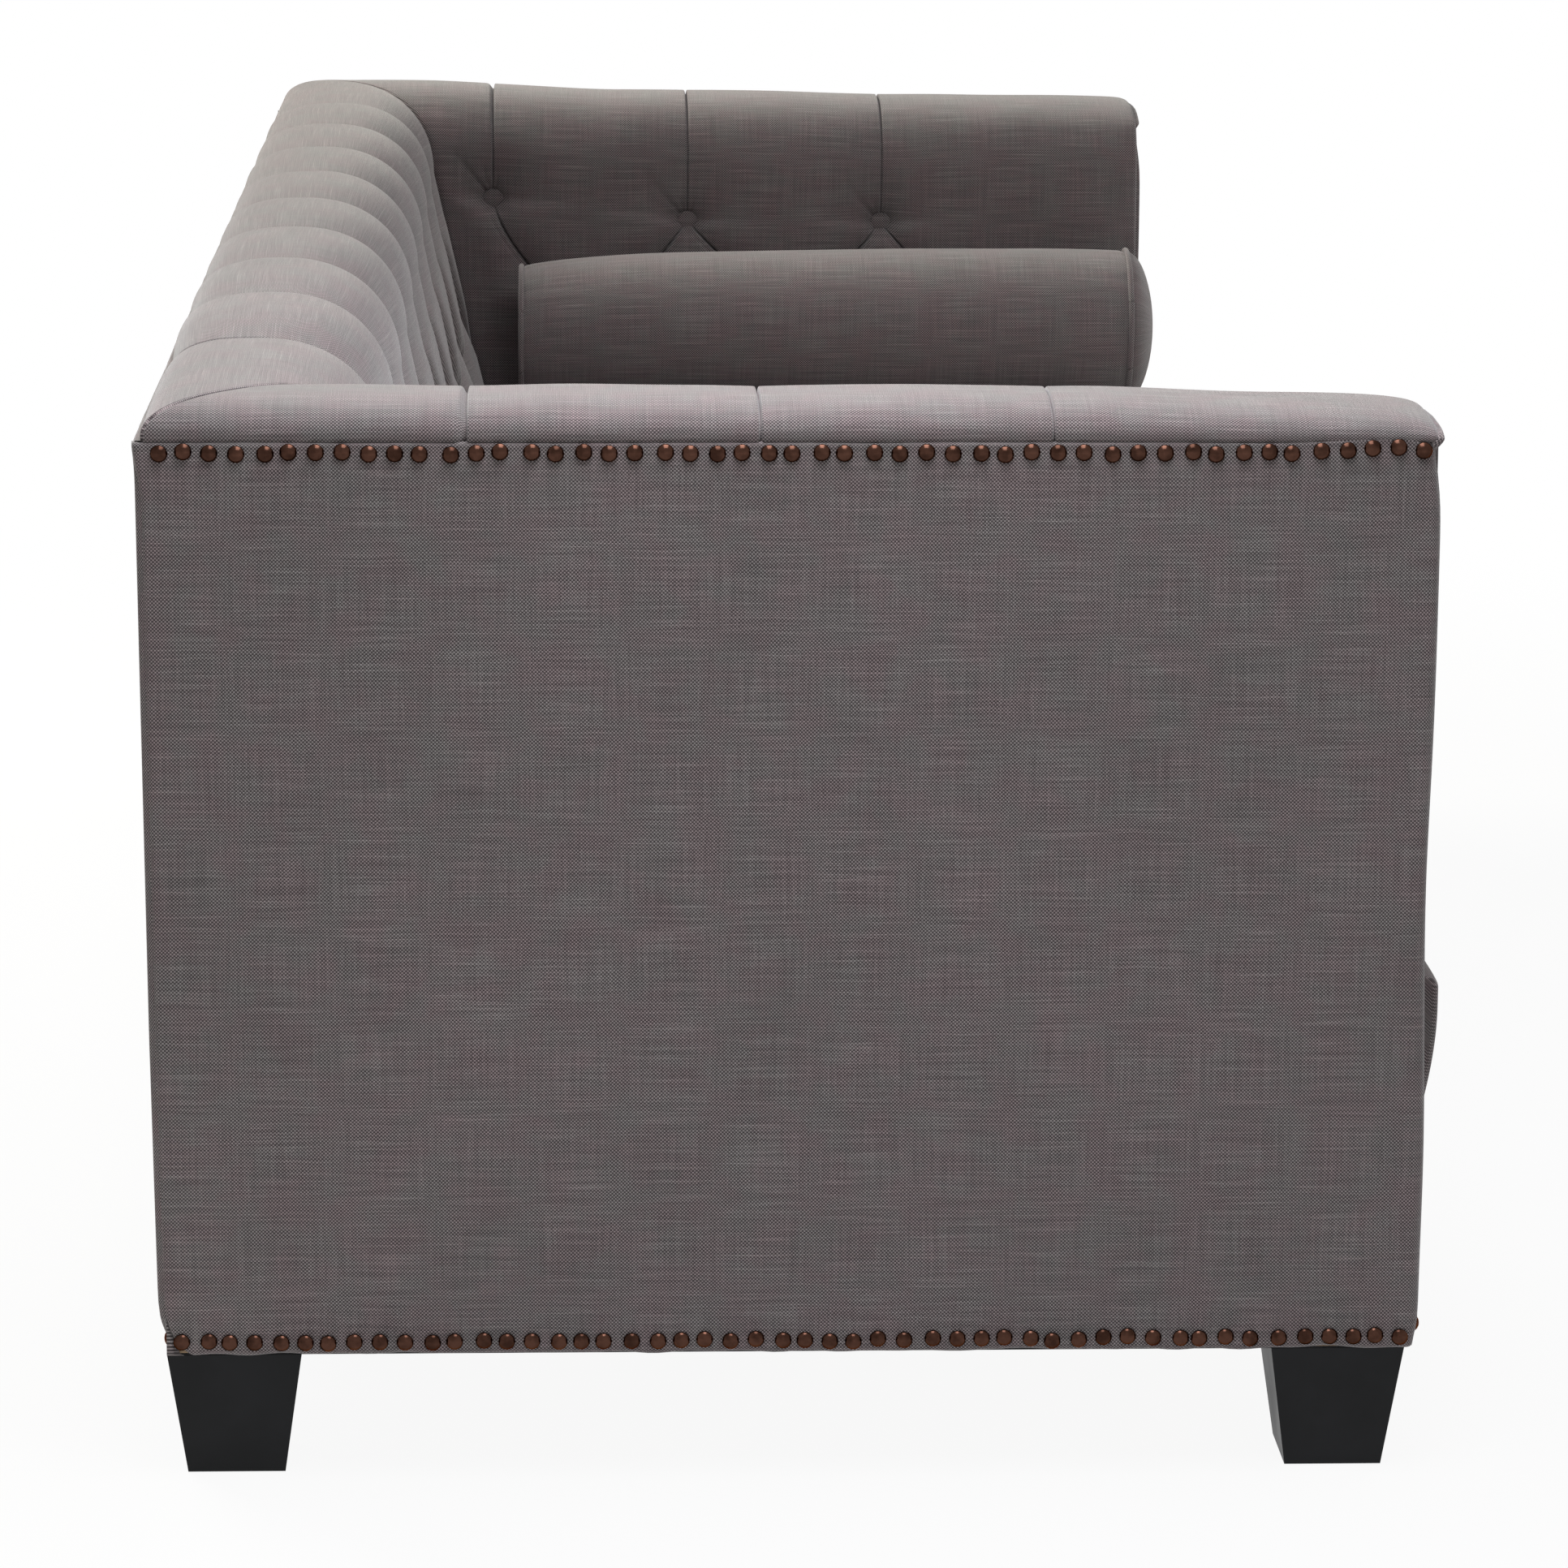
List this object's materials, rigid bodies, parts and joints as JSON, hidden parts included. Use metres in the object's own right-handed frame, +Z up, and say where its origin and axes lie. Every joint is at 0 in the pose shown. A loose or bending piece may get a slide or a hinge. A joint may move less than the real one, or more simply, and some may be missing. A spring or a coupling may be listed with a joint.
{
  "type": "chesterfield sofa",
  "caption": "Long square-armed sofa in grey-brown linen, deeply buttoned back and arms, loose seat cushions, end bolsters, dark nail trim and black tapered legs.",
  "frame": {"origin": "on the floor, at the middle of the footprint", "axes": "+X along the length towards the right arm as a sitter's visitor sees it, +Y from the seat's open front to the back, +Z up"},
  "size_m": [2.13, 0.862, 0.73],
  "materials": {
    "linen": "heavy plain-weave linen",
    "black_wood": "satin black lacquer",
    "hardwood": "sawn and planed",
    "plywood": "raw",
    "jute_webbing": "woven strap",
    "zinc_steel": "zinc plated",
    "deck_cloth": "padded platform cloth",
    "cambric": "thin non-woven cloth"
  },
  "bodies": {
    "base": {"front_rail": "hardwood", "back_rail": "hardwood", "side_rail_left": "hardwood", "side_rail_right": "hardwood", "seat_stretcher_left": "hardwood", "seat_stretcher_right": "hardwood", "seat_back_rail": "hardwood", "corner_blocks": "hardwood", "arm_front_board_left": "hardwood", "arm_front_board_right": "hardwood", "rear_post_left": "hardwood", "rear_post_right": "hardwood", "arm_top_rail_left": "hardwood", "arm_top_rail_right": "hardwood", "arm_tack_rail_left": "hardwood", "arm_tack_rail_right": "hardwood", "arm_inner_board_left": "plywood", "arm_inner_board_right": "plywood", "back_upright_left": "hardwood", "back_upright_mid_left": "hardwood", "back_upright_mid_right": "hardwood", "back_upright_right": "hardwood", "back_top_rail": "hardwood", "back_liner_rail": "hardwood", "back_webbing": "jute_webbing", "seat_springs": "zinc_steel", "spring_clips": "zinc_steel", "seat_deck": "deck_cloth", "dust_cover": "cambric", "leg_front_left": "black_wood", "leg_front_right": "black_wood", "leg_rear_left": "black_wood", "leg_rear_right": "black_wood", "leg_plates": "zinc_steel", "leg_bolts": "zinc_steel", "inside_back": "linen", "inside_arm_left": "linen", "inside_arm_right": "linen", "back_buttons": "linen", "arm_buttons_left": "linen", "arm_buttons_right": "linen", "outside_arm_left": "linen", "outside_arm_right": "linen", "outside_back": "linen", "arm_facing_left": "linen", "arm_facing_right": "linen", "front_border": "linen"},
    "cushion_left": {"seat_cushion_left": "linen"},
    "cushion_centre": {"seat_cushion_centre": "linen"},
    "cushion_right": {"seat_cushion_right": "linen"},
    "bolster_left": {"bolster_left": "linen"},
    "bolster_right": {"bolster_right": "linen"}
  },
  "joints": [
    {"name": "cushion_left_lift", "type": "slide", "parent": "base", "child": "cushion_left", "axis": [0, 0, 1], "range_m": [0, 0.45]},
    {"name": "cushion_centre_lift", "type": "slide", "parent": "base", "child": "cushion_centre", "axis": [0, 0, 1], "range_m": [0, 0.45]},
    {"name": "cushion_right_lift", "type": "slide", "parent": "base", "child": "cushion_right", "axis": [0, 0, 1], "range_m": [0, 0.45]},
    {"name": "bolster_left_lift", "type": "slide", "parent": "cushion_left", "child": "bolster_left", "axis": [0, 0, 1], "range_m": [0, 0.32]},
    {"name": "bolster_right_lift", "type": "slide", "parent": "cushion_right", "child": "bolster_right", "axis": [0, 0, 1], "range_m": [0, 0.32]}
  ]
}
